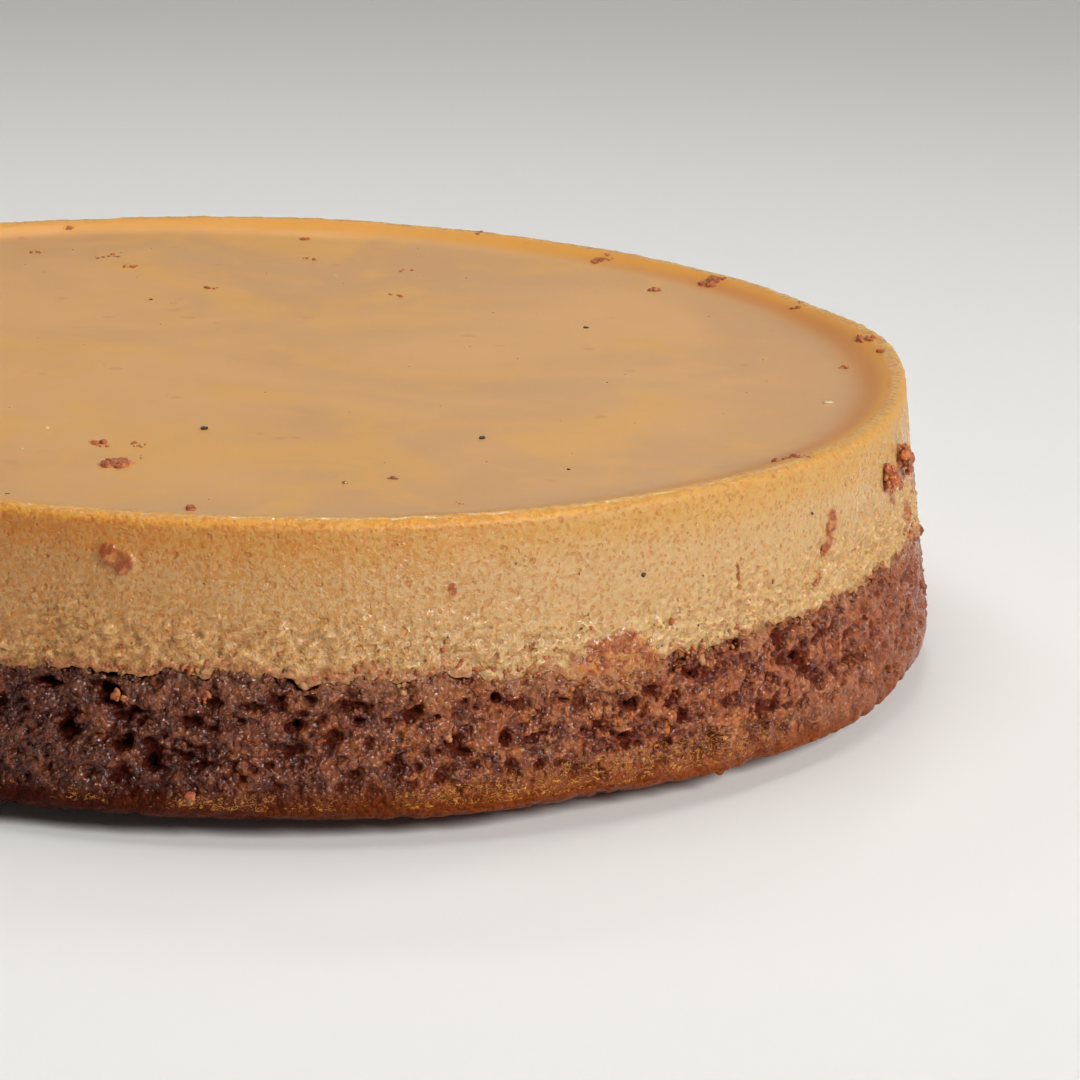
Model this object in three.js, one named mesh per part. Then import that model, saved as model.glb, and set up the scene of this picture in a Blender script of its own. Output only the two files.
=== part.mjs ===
// A chocoflan: a round flan with a caramel glaze in its dished top, standing on a layer of
// chocolate sponge. It was baked in one tapered pan and turned out upside down, so the flan is
// the narrow end. Millimetres, +Z up, with the origin under the middle of the flat underside.

import * as THREE from "three";
import { mergeVertices } from "three/addons/utils/BufferGeometryUtils.js";

// The whole cake
const cakeHeight = 47.4;
const baseRadius = 116.4;
const wallTaper = 0.158; // how much the radius shrinks for each millimetre of height
const segments = 96; // round the cake

// The sponge's underside: it domed in the oven, so its edge is lifted off what it stands on
const restRadius = 94;
const edgeLift = 4.9;
const cornerHeight = 6.4; // where the rounded lower corner runs into the wall

// Where the sponge meets the flan
const spongeHeight = 24.4;
const layerGap = 0.3;
const layerFade = 14; // how far in from the wall the line between the layers stays uneven

// The flan's rim and the dish inside it
const rimRound = 1.6;
const rimCrestInset = 1.5; // from the outside of the rim to its crest
const dishDepth = 3.2;
const dishSlope = 4.2; // how far in the dish takes to fall by about two thirds of its depth
const dishSharpness = 1.6;

// The caramel glaze lies in the dish and thins out up its slope
const glazeDrop = 2.1; // from the crest of the rim down to the middle of the glaze
const glazeSlope = 5.2;
const glazeSharpness = 1.7;
const glazeInsets = [20, 11, 7.5, 5, 3.4, 2.3]; // from the crest of the rim, to the glaze's edge

// Unevenness: each wave is how many times it goes round, how far it goes, and where it starts
const wallWaves = [
  { count: 2, size: 0.3, phase: 0.4 },
  { count: 3, size: 0.25, phase: 2.1 },
  { count: 7, size: 0.14, phase: 0.9 },
];
const edgeWaves = [
  { count: 4, size: 0.45, phase: 1.2 },
  { count: 9, size: 0.3, phase: 2.6 },
  { count: 17, size: 0.2, phase: 0.3 },
];
const layerWaves = [
  { count: 5, size: 0.4, phase: 1.9 },
  { count: 11, size: 0.4, phase: 0.7 },
  { count: 19, size: 0.25, phase: 2.8 },
];

// Where the sponge climbs the flan, or the flan hangs down over it, in degrees round from the
// front towards +X
const layerLumps = [
  { at: 28, width: 4.2, rise: -3 },
  { at: 6, width: 6, rise: -1.0 },
  { at: 36, width: 5, rise: -1.2 },
  { at: 80, width: 9, rise: -2.6 },
  { at: 168, width: 7, rise: 1.6 },
  { at: 231, width: 6, rise: -1.5 },
  { at: 292, width: 8, rise: 1.2 },
];

const finishes = {
  sponge: new THREE.MeshStandardMaterial({ color: 0x66392a, roughness: 0.85, metalness: 0 }),
  flan: new THREE.MeshStandardMaterial({ color: 0xcd9c5e, roughness: 0.5, metalness: 0 }),
  caramel: new THREE.MeshStandardMaterial({ color: 0xce9f66, roughness: 0.15, metalness: 0 }),
};

// The angle round the cake, in radians from the front (-Y) towards +X
const angleOf = (x, y) => Math.atan2(x, -y);

const sumWaves = (waves, angle) =>
  waves.reduce((sum, wave) => sum + wave.size * Math.sin(wave.count * angle + wave.phase), 0);

const smoothstep = (from, to, value) => THREE.MathUtils.smoothstep(value, from, to);

function sumLumps(lumps, angle) {
  return lumps.reduce((sum, lump) => {
    const away = angle - THREE.MathUtils.degToRad(lump.at);
    const wrapped = Math.atan2(Math.sin(away), Math.cos(away));
    const share = THREE.MathUtils.radToDeg(wrapped) / lump.width;
    return sum + lump.rise * Math.exp(-share * share);
  }, 0);
}

const wallRadius = (z) => baseRadius - wallTaper * (z - cornerHeight);

// The flan's upper surface, by how far in from the crest of the rim
function dishHeight(inset) {
  const fall = 1 - Math.exp(-Math.pow(inset / dishSlope, dishSharpness));
  return cakeHeight - dishDepth * fall;
}

function glazeHeight(inset) {
  const fall = 1 - Math.exp(-Math.pow(inset / glazeSlope, glazeSharpness));
  return cakeHeight - glazeDrop * fall;
}

// Turns a profile of [radius, height] points round the Z axis, moves each point by the given
// function and closes the result into one body.
function turnedBody(profile, move) {
  const points = profile.map(([radius, height]) => new THREE.Vector2(radius, height));
  const lathe = new THREE.LatheGeometry(points, segments);
  lathe.rotateX(Math.PI / 2);
  lathe.deleteAttribute("normal");
  lathe.deleteAttribute("uv");
  const body = mergeVertices(lathe, 1e-3);
  dropFlatTriangles(body);
  const position = body.getAttribute("position");
  for (let i = 0; i < position.count; i += 1) {
    const x = position.getX(i);
    const y = position.getY(i);
    const radius = Math.hypot(x, y);
    const moved = move(radius, position.getZ(i), angleOf(x, y));
    const scale = radius > 0 ? moved.radius / radius : 0;
    position.setXYZ(i, x * scale, y * scale, moved.height);
  }
  body.computeVertexNormals();
  return body;
}

// On the axis a turned profile leaves triangles with two equal corners
function dropFlatTriangles(body) {
  const corners = body.getIndex().array;
  const kept = [];
  for (let i = 0; i < corners.length; i += 3) {
    const [a, b, c] = [corners[i], corners[i + 1], corners[i + 2]];
    if (a !== b && b !== c && c !== a) kept.push(a, b, c);
  }
  body.setIndex(kept);
}

// The wall's waves fade out towards the middle of the cake
function unevenRadius(radius, angle) {
  return radius + sumWaves(wallWaves, angle) * smoothstep(0.7 * baseRadius, 0.9 * baseRadius, radius);
}

// The layers meet at one radius, and their shared surface is uneven only close to the wall
const layerRadius = wallRadius(spongeHeight);
const layerRadii = [0, 4, 7, 10, layerFade].map((inset) => layerRadius - inset);

function layerRise(radius, angle) {
  const rise = sumWaves(layerWaves, angle) + sumLumps(layerLumps, angle);
  return rise * smoothstep(layerRadius - layerFade, layerRadius, radius);
}

function makeSponge() {
  const wallSteps = [0.3, 0.65, 0.92];
  const wall = wallSteps.map((share) => {
    const z = THREE.MathUtils.lerp(cornerHeight, spongeHeight, share);
    return [wallRadius(z), z];
  });
  const profile = [
    [0, 0],
    [restRadius, 0],
    [baseRadius - 12, 0.22 * edgeLift],
    [baseRadius - 5, 0.5 * edgeLift],
    [baseRadius - 1.4, 0.8 * edgeLift],
    [baseRadius - 0.2, edgeLift],
    [baseRadius, cornerHeight],
    ...wall,
    ...layerRadii.map((radius) => [radius, spongeHeight]),
    [0, spongeHeight],
  ];
  return turnedBody(profile, (radius, z, angle) => {
    const topShare = smoothstep(cornerHeight, spongeHeight, z);
    const edgeShare = smoothstep(0, edgeLift, z) * (1 - topShare);
    const edge = sumWaves(edgeWaves, angle) * edgeShare;
    const height = z + edge + layerRise(radius, angle) * topShare;
    return { radius: unevenRadius(radius, angle), height };
  });
}

function makeFlan() {
  const under = spongeHeight + layerGap;
  const roundFoot = cakeHeight - rimRound;
  const wall = [0.25, 0.6, 1].map((share) => {
    const z = THREE.MathUtils.lerp(under, roundFoot, share);
    return [wallRadius(z), z];
  });
  const crestRadius = wallRadius(cakeHeight) - rimCrestInset;
  const roundWidth = wallRadius(roundFoot) - crestRadius;
  const rim = [22, 45, 68, 90].map((degrees) => {
    const turn = THREE.MathUtils.degToRad(degrees);
    return [crestRadius + roundWidth * Math.cos(turn), roundFoot + rimRound * Math.sin(turn)];
  });
  const dishInsets = [1.2, ...glazeInsets.slice().reverse()];
  const dish = dishInsets.map((inset) => [crestRadius - inset, dishHeight(inset)]);
  const profile = [
    [0, under],
    ...layerRadii.map((radius) => [radius, under]).reverse(),
    ...wall,
    ...rim,
    ...dish,
    [0, cakeHeight - dishDepth],
  ];
  return turnedBody(profile, (radius, z, angle) => {
    const underShare = 1 - smoothstep(under, roundFoot, z);
    const height = z + layerRise(radius, angle) * underShare;
    return { radius: unevenRadius(radius, angle), height };
  });
}

function makeGlaze() {
  const crestRadius = wallRadius(cakeHeight) - rimCrestInset;
  const underneath = glazeInsets.map((inset) => [crestRadius - inset, dishHeight(inset) + layerGap]);
  const surface = glazeInsets.map((inset) => [crestRadius - inset, glazeHeight(inset)]);
  const profile = [
    [0, cakeHeight - dishDepth + layerGap],
    ...underneath,
    ...surface.reverse(),
    [0, cakeHeight - glazeDrop],
  ];
  return turnedBody(profile, (radius, z, angle) => {
    return { radius: unevenRadius(radius, angle), height: z };
  });
}

function namedMesh(name, geometry, finish) {
  const mesh = new THREE.Mesh(geometry, finish);
  mesh.name = name;
  return mesh;
}

const layers = new THREE.Group();
layers.add(namedMesh("chocolate_sponge", makeSponge(), finishes.sponge));
layers.add(namedMesh("flan", makeFlan(), finishes.flan));
layers.add(namedMesh("caramel_glaze", makeGlaze(), finishes.caramel));

// The uneven wall's middle is put over the origin
const middle = new THREE.Box3().setFromObject(layers).getCenter(new THREE.Vector3());
layers.position.set(-middle.x, -middle.y, 0);

const chocoflan = new THREE.Group();
chocoflan.add(layers);

export default chocoflan;
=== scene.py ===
import itertools
import math

import bmesh
import bpy
import numpy as np
from mathutils import Matrix, Vector


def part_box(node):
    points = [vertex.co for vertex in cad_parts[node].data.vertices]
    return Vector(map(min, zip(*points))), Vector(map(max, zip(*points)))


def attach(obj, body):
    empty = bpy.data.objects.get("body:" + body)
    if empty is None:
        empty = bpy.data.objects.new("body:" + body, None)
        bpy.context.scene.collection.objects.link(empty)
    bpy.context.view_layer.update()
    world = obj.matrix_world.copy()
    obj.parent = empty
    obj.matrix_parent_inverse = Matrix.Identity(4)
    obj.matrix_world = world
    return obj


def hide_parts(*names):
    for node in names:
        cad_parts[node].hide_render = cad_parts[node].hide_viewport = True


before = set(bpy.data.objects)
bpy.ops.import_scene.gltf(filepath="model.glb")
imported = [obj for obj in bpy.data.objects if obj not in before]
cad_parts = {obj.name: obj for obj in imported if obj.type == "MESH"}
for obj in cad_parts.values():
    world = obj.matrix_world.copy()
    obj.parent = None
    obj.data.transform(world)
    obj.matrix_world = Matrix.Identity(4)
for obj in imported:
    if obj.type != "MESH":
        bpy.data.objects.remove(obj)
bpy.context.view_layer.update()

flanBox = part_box("flan")
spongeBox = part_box("chocolate_sponge")
mm = 0.001
# distances that the meshes store as 0 to 1
insetSpan = 10 * mm      # inwards from the crest of the rim
aboveSpan = 25 * mm      # up from the line between the layers
curdSpan = 1.2 * mm      # over the torn lumps of the flan
crumbSpan = 2.2 * mm     # over the relief of the sponge

# the cake's own sizes, in metres; angles go round from the front (-Y) towards +X
cake = {
    "height": flanBox[1][2],
    "baseRadius": (spongeBox[1][0] - spongeBox[0][0]) / 2,
    "taper": 0.158,                 # the wall leans in by this much for each unit of height
    "restRadius": 94 * mm,          # the flat middle that the cake stands on
    "edgeLift": 4.9 * mm,
    "cornerHeight": 6.4 * mm,
    "layerHeight": 24.4 * mm,       # where the sponge ends and the flan starts
    "seamRadius": 114 * mm,         # the wall's radius at the line between the layers
    "wallMiddle": 113 * mm,         # and halfway up the flan
    "rimRound": 1.6 * mm,
    "crestInset": 1.5 * mm,
    # unevenness: waves round the cake as count, size in mm, phase
    "wallWaves": [(2, 0.3, 0.4), (3, 0.25, 2.1), (7, 0.14, 0.9)],
    "edgeWaves": [(4, 0.45, 1.2), (9, 0.3, 2.6), (17, 0.2, 0.3)],
    "layerWaves": [(5, 0.4, 1.9), (11, 0.4, 0.7), (19, 0.25, 2.8)],
    "rimWaves": [(1, 0.22, -1.57), (3, 0.12, 0.8), (8, 0.1, 2.0), (21, 0.05, 1.0)],
    # lumps as degrees, width, rise in mm
    "rimLumps": [(98, 9, 0.6), (170, 22, 0.25)],
    "rimOut": [(97, 10, 1.3)],      # where the rim stands further out than the wall below it
    "layerLumps": [(28, 4.2, -3.0), (6, 6, -1.0), (36, 5, -1.2), (80, 9, -2.6), (168, 7, 1.6),
                   (231, 6, -1.5), (292, 8, 1.2)],
    # where the two layers have run into each other while baking: degrees, width, amount
    "mixing": [(8, 9, 1), (27, 6, 0.9), (-12, 7, 0.6), (42, 1.8, 0.7), (77, 8, 1), (140, 12, 0.8),
               (200, 15, 0.9), (262, 12, 0.8), (315, 10, 0.7)],
}


# every noise value comes from a hash, so each run gives the same cake
def scramble(x, y, z, seed):
    mixed = (x.astype(np.int64) * 374761393 + y.astype(np.int64) * 668265263
             + z.astype(np.int64) * 1440662683 + seed * 1274126177) & 0xFFFFFFFF
    mixed = ((mixed ^ (mixed >> 13)) * 1274126177) & 0xFFFFFFFF
    mixed = ((mixed ^ (mixed >> 15)) * 2246822519 & 0xFFFFFFFF)
    return (mixed ^ (mixed >> 16)) / 4294967295


def softNoise(points, size, seed):
    # smooth lumps about as wide as size, from -1 to 1
    scaled = points / size
    cell = np.floor(scaled)
    inside = scaled - cell
    fade = inside * inside * (3 - 2 * inside)
    total = np.zeros(points.shape[:-1])
    for corner in itertools.product((0, 1), repeat=3):
        share = np.prod(np.where(corner, fade, 1 - fade), axis=-1)
        at = cell + corner
        total += share * scramble(at[..., 0], at[..., 1], at[..., 2], seed)
    return total * 2 - 1


def layeredNoise(points, size, seed, layers=3, fall=0.5):
    total = np.zeros(points.shape[:-1])
    for layer in range(layers):
        total += softNoise(points, size * 0.5 ** layer, seed + 17 * layer) * fall ** layer
    return total


def stir(points, size, reach, seed):
    # shifts points about, so that what is worked out from them is less regular
    shift = np.stack([layeredNoise(points, size, seed + axis, 2) for axis in range(3)], -1)
    return points + reach * shift


def cellNoise(points, size, seed):
    # distance to the nearest scattered point, in cells, and that point's own chance number
    scaled = points / size
    home = np.floor(scaled)
    nearest = np.full(points.shape[:-1], 9.0)
    chance = np.zeros(points.shape[:-1])
    for step in itertools.product((-1, 0, 1), repeat=3):
        cell = home + step
        x, y, z = cell[..., 0], cell[..., 1], cell[..., 2]
        seedPoint = cell + np.stack([scramble(x, y, z, seed + i) for i in range(3)], -1)
        away = np.linalg.norm(seedPoint - scaled, axis=-1)
        chance = np.where(away < nearest, scramble(x, y, z, seed + 3), chance)
        nearest = np.minimum(nearest, away)
    return nearest, chance


def smooth(start, end, value):
    share = np.clip((value - start) / (end - start), 0, 1)
    return share * share * (3 - 2 * share)


# the shape that the layers share
def sumWaves(waves, angle):
    return sum(size * mm * np.sin(count * angle + phase) for count, size, phase in waves)


def angleGap(angle, degrees):
    away = angle - math.radians(degrees)
    return np.arctan2(np.sin(away), np.cos(away))


def sumLumps(lumps, angle):
    return sum(rise * np.exp(-(np.degrees(angleGap(angle, at)) / width) ** 2)
               for at, width, rise in lumps)


def wallRadius(z, angle=None):
    radius = cake["baseRadius"] - cake["taper"] * (z - cake["cornerHeight"])
    if angle is not None:
        radius = radius + sumWaves(cake["wallWaves"], angle)
    return radius


def wavy(radius, angle, outer=116 * mm):
    # adds the slow waves of the wall, which die out towards the middle of the cake
    return radius + sumWaves(cake["wallWaves"], angle) * smooth(0.7 * outer, 0.9 * outer, radius)


def placeAt(radius, z, angle):
    return np.stack([radius * np.sin(angle), -radius * np.cos(angle), z + 0 * angle], -1)


def polar(x, y):
    return np.hypot(x, y), np.arctan2(x, -y)


def seamRing(angle):
    # points round the cake where the ragged line and the gaps take their noise from
    return placeAt(cake["seamRadius"], 0, angle)


def layerLine(angle):
    # height of the ragged line between the sponge and the flan
    ring = seamRing(angle)
    ragged = (0.45 * softNoise(ring, 9 * mm, 11) + 0.55 * softNoise(ring, 4 * mm, 12)
              + 0.6 * softNoise(ring, 1.7 * mm, 13) + 0.35 * softNoise(ring, 0.9 * mm, 14))
    swell = sumWaves(cake["layerWaves"], angle) + sumLumps(cake["layerLumps"], angle) * mm
    return cake["layerHeight"] + swell + ragged * mm


def mixedShare(angle, away):
    # how much of the other layer there is at a distance from the ragged line, from 0 to 1
    ring = seamRing(angle)
    reach = 0.9 + 3.4 * sumLumps(cake["mixing"], angle) + 1.0 * softNoise(ring, 5 * mm, 15)
    reach = (reach + 0.8 * softNoise(ring, 1.6 * mm, 16)) * mm
    return smooth(1, 0, away / np.maximum(reach, 0.4 * mm))


def crestHeight(angle):
    lumps = sumLumps(cake["rimLumps"], angle) * mm
    return cake["height"] + sumWaves(cake["rimWaves"], angle) + lumps


def crestRadius():
    return wallRadius(cake["height"]) - cake["crestInset"]


def rimOut(radius, z, angle):
    near = smooth(crestRadius() - 5 * mm, crestRadius(), radius) * smooth(41 * mm, 46 * mm, z)
    return sumLumps(cake["rimOut"], angle) * mm * near


def dishHeight(inset, angle):
    # the visible surface inside the crest of the rim: a slope down to a level middle
    level = cake["height"] - dish["depth"]
    left = np.exp(-(np.maximum(inset, 0) / dish["slope"]) ** dish["sharpness"])
    return level + (crestHeight(angle) - level) * left


def columnAngles(count):
    # columns stand closer on the side that is seen close up
    trial = np.linspace(-math.pi, math.pi, 4001)
    closeness = 1 + 1.1 * smooth(1.75, 1.15, np.abs(angleGap(trial, 28)))
    run = np.concatenate([[0], np.cumsum((closeness[1:] + closeness[:-1]) / 2)])
    return np.interp(np.arange(count) / count * run[-1], run, trial)


def unit(vectors):
    return vectors / np.linalg.norm(vectors, axis=-1, keepdims=True)


def gridNormals(rings):
    around = np.roll(rings, -1, 1) - np.roll(rings, 1, 1)
    return unit(np.cross(around, np.gradient(rings, axis=0)))


def stackRings(angle, profile):
    # each part of a profile, such as all its radii, as rows of rings
    return np.array([[part + 0 * angle for part in ring] for ring in profile]).transpose(1, 0, 2)


def addObject(name, data):
    added = bpy.data.objects.new(name, data)
    bpy.context.scene.collection.objects.link(added)
    return added


def addPiece(name, mesh):
    mesh.polygons.foreach_set("use_smooth", [True] * len(mesh.polygons))
    mesh.update()
    return addObject(name, mesh)


def dress(piece, finish, replaced=None):
    piece.data.materials.append(finish.material)
    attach(piece, "root")
    if replaced:
        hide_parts(replaced)


def ringMesh(name, rings, startPole, endPole, values):
    # rings go from the pole underneath, out, up and in to the pole on top
    rows, columns = rings.shape[:2]
    index = np.arange(rows * columns).reshape(rows, columns)
    after = np.roll(index, -1, axis=1)
    start = np.full(columns, rows * columns)
    quads = np.stack([index[:-1], after[:-1], after[1:], index[1:]], -1).reshape(-1, 4)
    fans = np.concatenate([np.stack([start, after[0], index[0]], -1),
                           np.stack([start + 1, index[-1], after[-1]], -1)])
    vertices = np.concatenate([rings.reshape(-1, 3), [startPole], [endPole]])
    mesh = bpy.data.meshes.new(name)
    mesh.from_pydata(vertices.tolist(), [], quads.tolist() + fans.tolist())
    for label, amounts in values.items():
        padded = np.concatenate([np.ravel(amounts), [amounts[0].mean(), amounts[-1].mean()]])
        mesh.attributes.new(label, "FLOAT", "POINT").data.foreach_set("value", padded)
    return addPiece(name, mesh)


def lumpMesh(name, centres, sizes, seed, subdivisions, rough, turns=None, flat=1.0):
    # many small uneven lumps joined into one mesh; flat squeezes each along its own third axis
    ball = bmesh.new()
    bmesh.ops.create_icosphere(ball, subdivisions=subdivisions, radius=1)
    corners = np.array([vertex.co[:] for vertex in ball.verts])
    faces = np.array([[vertex.index for vertex in face.verts] for face in ball.faces])
    ball.free()
    count = len(centres)
    draw = np.random.default_rng(seed)
    shift = draw.uniform(-50, 50, (count, 1, 3))
    swell = 1 + rough * (softNoise(corners * 1.1 + shift, 1.0, seed)
                         + 0.5 * softNoise(corners * 2.6 + shift, 1.0, seed + 1))
    local = corners * swell[..., None] * draw.uniform(0.72, 1.3, (count, 1, 3)) * (1, 1, flat)
    if turns is None:
        turns = turnsFacing(draw, unit(draw.normal(size=(count, 3))))
    placed = np.einsum("nij,nkj->nki", turns, local * np.reshape(sizes, (-1, 1, 1)))
    vertices = (placed + np.array(centres)[:, None]).reshape(-1, 3)
    joined = (faces + len(corners) * np.arange(count)[:, None, None]).reshape(-1, 3)
    mesh = bpy.data.meshes.new(name)
    mesh.from_pydata(vertices.tolist(), [], joined.tolist())
    return addPiece(name, mesh)


def turnsFacing(draw, outward):
    # random turns whose third axis points outward
    second = unit(np.cross(outward, draw.normal(size=outward.shape)))
    return np.stack([np.cross(second, outward), second, outward], -1)


def facingUp(count):
    return np.tile([0, 0, 1.0], (count, 1))


def addLumps(name, finish, slot, *lumps):
    dress(lumpMesh(name, *lumps), finish)


# makes one operator of the class below
def sumWith(operation, swapped=False):
    def work(self, other):
        first, second = (other, self) if swapped else (self, other)
        return self.nodes.node("ShaderNodeMath", {"operation": operation}, {0: first, 1: second})
    return work


class Value:
    # a socket that can be used in a plain expression
    __add__ = sumWith("ADD")
    __radd__ = sumWith("ADD", True)
    __sub__ = sumWith("SUBTRACT")
    __rsub__ = sumWith("SUBTRACT", True)
    __mul__ = sumWith("MULTIPLY")
    __rmul__ = sumWith("MULTIPLY", True)

    def __init__(self, nodes, socket):
        self.nodes = nodes
        self.socket = socket

    def ease(self, start, end, low=0, high=1):
        return self.nodes.node("ShaderNodeMapRange", {"interpolation_type": "SMOOTHSTEP"},
                               {"Value": self, "From Min": start, "From Max": end,
                                "To Min": low, "To Max": high}, "Result")


class Nodes:
    # adds nodes to a material or to the sky
    def __init__(self, tree):
        self.tree = tree

    def plug(self, socket, value):
        if isinstance(value, Value):
            self.tree.links.new(value.socket, socket)
        elif isinstance(value, tuple) and socket.type == "RGBA":
            socket.default_value = (*value, 1)
        else:
            socket.default_value = value

    def node(self, kind, settings=None, inputs=None, output=0):
        made = self.tree.nodes.new(kind)
        for name, setting in (settings or {}).items():
            if name == "stops":
                made.color_ramp.interpolation = "EASE"
                for stop, (position, tone) in zip(made.color_ramp.elements, setting):
                    stop.position = position
                    stop.color = (*tone, 1)
            else:
                setattr(made, name, setting)
        for name, value in (inputs or {}).items():
            self.plug(made.inputs[name], value)
        return Value(self, made.outputs[output])


class Finish(Nodes):
    # one material; its sizes are in mm, and light is how much gets in, how far, and in what scale
    def __init__(self, name, light=None, **fixed):
        self.material = bpy.data.materials.new(name)
        self.material.use_nodes = True
        super().__init__(self.material.node_tree)
        self.tree.nodes.clear()
        full = self.node("ShaderNodeBsdfPrincipled")
        self.shader = full.socket.node
        self.output = self.tree.nodes.new("ShaderNodeOutputMaterial").inputs[0]
        self.plug(self.output, full)
        self.at = self.node("ShaderNodeTexCoord", output="Object")
        if light:
            weight, reach, scale = light
            self.shade(Subsurface_Weight=weight, Subsurface_Radius=reach, Subsurface_Scale=scale * mm)
        self.shade(**fixed)

    def shade(self, **inputs):
        for name, value in inputs.items():
            self.plug(self.shader.inputs[name.replace("_", " ")], value)

    def dullWhere(self, share, level):
        # blends in a copy of the shader with less shine
        full = Value(self, self.shader.outputs[0])
        dull = self.node("ShaderNodeBsdfPrincipled")
        inputs = dull.socket.node.inputs
        for first, second in zip(self.shader.inputs, inputs):
            if first.is_linked:
                self.tree.links.new(first.links[0].from_socket, second)
            elif hasattr(first, "default_value"):
                second.default_value = first.default_value
        inputs["Specular IOR Level"].default_value = level
        self.plug(self.output, self.node("ShaderNodeMixShader", None, {0: share, 1: full, 2: dull}))

    def along(self, axis):
        return self.node("ShaderNodeSeparateXYZ", None, {0: self.at}, axis)

    def vector(self, operation, inputs, output=0):
        return self.node("ShaderNodeVectorMath", {"operation": operation}, inputs, output)

    def squash(self, factors):
        return self.vector("MULTIPLY", {0: self.at, 1: factors})

    def fromAxis(self):
        # distance from the upright line through the middle of the cake
        return self.vector("LENGTH", {0: self.squash((1, 1, 0))}, "Value")

    def stirred(self, size, reach):
        wander = self.node("ShaderNodeTexNoise", None,
                           {"Vector": self.at, "Scale": 1 / (size * mm), "Detail": 2}, "Color")
        centred = self.vector("SUBTRACT", {0: wander, 1: (0.5, 0.5, 0.5)})
        shift = self.vector("SCALE", {0: centred, "Scale": reach * mm})
        return self.vector("ADD", {0: self.at, 1: shift})

    def noise(self, size, detail=2, rough=0.5, warp=0, at=None):
        return self.node("ShaderNodeTexNoise", None,
                         {"Vector": at or self.at, "Scale": 1 / (size * mm), "Detail": detail,
                          "Roughness": rough, "Distortion": warp}, "Fac")

    def cells(self, size, *stirring):
        return self.node("ShaderNodeTexVoronoi", None,
                         {"Vector": self.stirred(*stirring), "Scale": 1 / (size * mm)}, "Distance")

    def blend(self, first, second, share, mode="MIX"):
        return self.node("ShaderNodeMix", {"data_type": "RGBA", "blend_type": mode},
                         {"Factor": share, 6: first, 7: second}, 2)

    def coat(self, tone, share, mode="MIX"):
        self.colour = self.blend(self.colour, tone, share, mode)

    def bump(self, height, distance, strength=1.0):
        return self.node("ShaderNodeBump", None,
                         {"Height": height, "Distance": distance * mm, "Strength": strength}, "Normal")

    def stored(self, label):
        return self.node("ShaderNodeAttribute", {"attribute_name": label}, output="Fac")


# how far red, green and blue light get into each kind of food
glow = {
    "chocolate": (2.2, 0.5, 0.2),
    "crumbs": (2.4, 0.7, 0.25),
    "custard": (3.2, 1.3, 0.45),
}


sponge = {
    "columns": 1320,
    "wallRows": 56,
    "grainRow": 11,            # the first ring of the mesh that may carry grains
    # the open crumb: size and depth of the winding hollows; cell size, share and depth of the holes
    "hollows": [(2.8 * mm, 0.86 * mm), (1.4 * mm, 0.65 * mm)],
    "holes": [(4.4 * mm, 0.11, 1.2 * mm), (2.4 * mm, 0.2, 0.9 * mm)],
    "insets": [0.5, 1.4, 4, 12, 40],        # rings over the top, in mm inwards from the wall
    # the lifted edge underneath: distance in from the foot of the wall in mm, share of the lift
    "underEdge": [(15, 0.12), (12, 0.22), (8.5, 0.35), (5, 0.5), (3.4, 0.62), (2.2, 0.72),
                  (1.3, 0.81), (0.7, 0.89), (0.25, 1)],
    # single large holes: degrees, height, half width and half height in mm, depth in mm
    "pits": [(39.5, 23.1, 1.1, 0.8, 2.3), (34.2, 22.7, 1.5, 0.5, 1.7), (35.4, 20, 0.8, 0.6, 1.7),
             (29.3, 17.5, 1.3, 0.8, 2.5), (24.9, 14.6, 0.7, 0.6, 1.3), (17.9, 20.8, 0.8, 0.9, 1.7),
             (11.9, 20, 1.1, 0.8, 1.8), (4.1, 21.8, 0.9, 0.7, 1.8), (3.2, 17.9, 0.9, 0.8, 1.8),
             (-8.8, 15.5, 0.9, 1.2, 1.3), (-10.4, 21.5, 2, 1.3, 1.7), (-13.3, 16.7, 1.4, 2.1, 1.6),
             (-14.9, 22.6, 1.9, 0.7, 1.5), (47.3, 18.2, 0.8, 0.6, 1.3), (53, 23.5, 0.7, 0.6, 1.4),
             (104, 18, 1.3, 0.7, 1.6), (152, 14, 1, 1, 1.5), (216, 19, 1.4, 0.7, 1.6),
             (250, 12, 0.9, 0.9, 1.3), (301, 17, 1.2, 0.7, 1.6), (339, 13, 1, 0.8, 1.4)],
    # where the crumb is closer: degrees, width, amount
    "even": [(86, 24, 0.75), (185, 30, 0.6)],
    "proud": 0.6 * mm,         # how far the crumb may stand out of its wall
    "gapDepth": 1.3 * mm,      # how far the sponge shrinks back under the flan in places
    "gaps": [(-12, 2.2, 1), (38, 1.5, 1), (47, 1.4, 0.8), (131, 4, 1), (204, 5, 1), (263, 4, 1),
             (322, 3, 1)],
    # loose bits on the wall: how many, smallest and largest in mm, fineness of the mesh, seed
    "loose": [("sponge_grains", 3800, (0.3, 0.55), 1, 301),
              ("sponge_nuggets", 1000, (0.5, 1.05), 2, 302)],
    # painted shade: the tone for the crevices of the crumb, and the darker hole tone below for its
    # holes
    "recessShade": (0.085, 0.014, 0.007),
    "hole": (0.016, 0.004, 0.003),
    "crumb": (0.12, 0.0195, 0.006),
    "light": (0.325, 0.086, 0.024),
    "tan": (0.48, 0.195, 0.062),
    "orange": (0.47, 0.135, 0.026),
    "calm": (0.275, 0.07, 0.019),       # where the crumb is closer
    # the foot: a baked crust, painted darker as shade under the cake, darkest on the -X side
    "crustAndShade": (0.122, 0.015, 0.0015),
    "crustWarm": (0.215, 0.043, 0.005),
    # painted reflection of warm light on the wrinkles low on the crumb
    "goldenReflection": (0.62, 0.265, 0.05),
    "creamy": (0.37, 0.14, 0.054),
    "sideShade": (0.325, 0.228, 0.24),       # painted shade: a darker tint over the -X side of the crumb
}


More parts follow.
